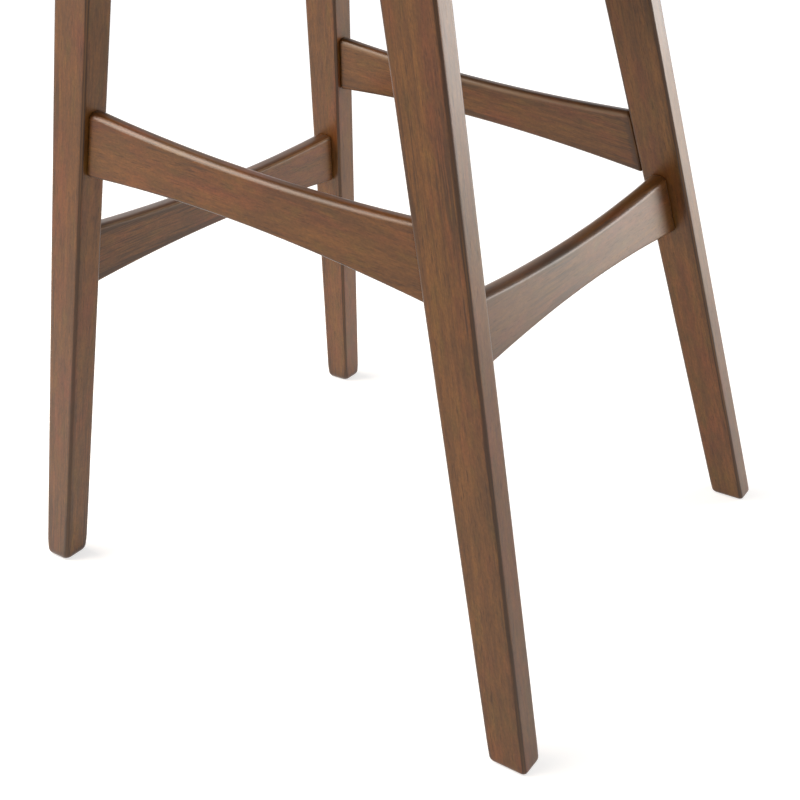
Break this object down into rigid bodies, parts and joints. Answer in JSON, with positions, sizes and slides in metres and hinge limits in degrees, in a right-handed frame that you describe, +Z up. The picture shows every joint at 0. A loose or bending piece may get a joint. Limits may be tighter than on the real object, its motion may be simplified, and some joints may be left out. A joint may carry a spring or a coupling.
{
  "type": "bar stool with footrest",
  "caption": "Bar stool with splayed tapered wooden legs, waisted stretchers, a front footrest rail and an upholstered low-back bucket seat.",
  "frame": {"origin": "on the floor, in the middle of the stool's footprint", "axes": "+Z up; the sitter faces -Y, so the footrest is on the -Y side and the back on the +Y side; +X is the sitter's left"},
  "size_m": [0.4848, 0.5401, 0.9443],
  "materials": {
    "walnut": "walnut-stained hardwood, satin lacquer",
    "block_wood": "unfinished hardwood",
    "plywood": "raw plywood",
    "upholstery": "woven upholstery fabric over foam",
    "dust_cloth": "black non-woven cloth",
    "zinc_steel": "zinc-plated steel",
    "nylon": "dark brown nylon"
  },
  "bodies": {
    "root": {"front_leg_left": "walnut", "front_leg_right": "walnut", "back_leg_left": "walnut", "back_leg_right": "walnut", "front_footrest": "walnut", "back_stretcher": "walnut", "side_stretcher_left": "walnut", "side_stretcher_right": "walnut", "front_seat_rail": "walnut", "back_seat_rail": "walnut", "side_seat_rail_left": "walnut", "side_seat_rail_right": "walnut", "corner_block_front_left": "block_wood", "corner_block_front_right": "block_wood", "corner_block_back_left": "block_wood", "corner_block_back_right": "block_wood", "block_screw_front_left_1": "zinc_steel", "block_screw_front_left_2": "zinc_steel", "block_screw_front_right_1": "zinc_steel", "block_screw_front_right_2": "zinc_steel", "block_screw_back_left_1": "zinc_steel", "block_screw_back_left_2": "zinc_steel", "block_screw_back_right_1": "zinc_steel", "block_screw_back_right_2": "zinc_steel", "seat_bolt_front_left": "zinc_steel", "seat_bolt_front_right": "zinc_steel", "seat_bolt_back_left": "zinc_steel", "seat_bolt_back_right": "zinc_steel", "tee_nut_front_left": "zinc_steel", "tee_nut_front_right": "zinc_steel", "tee_nut_back_left": "zinc_steel", "tee_nut_back_right": "zinc_steel", "back_screw_1": "zinc_steel", "back_screw_2": "zinc_steel", "back_screw_3": "zinc_steel", "back_screw_4": "zinc_steel", "foot_glide_front_left": "nylon", "foot_glide_front_right": "nylon", "foot_glide_back_left": "nylon", "foot_glide_back_right": "nylon", "dust_cover": "dust_cloth", "seat_board": "plywood", "back_shell": "plywood", "back_cover": "upholstery", "back_pad": "upholstery", "front_border": "upholstery", "seat_cushion": "upholstery"}
  },
  "joints": []
}
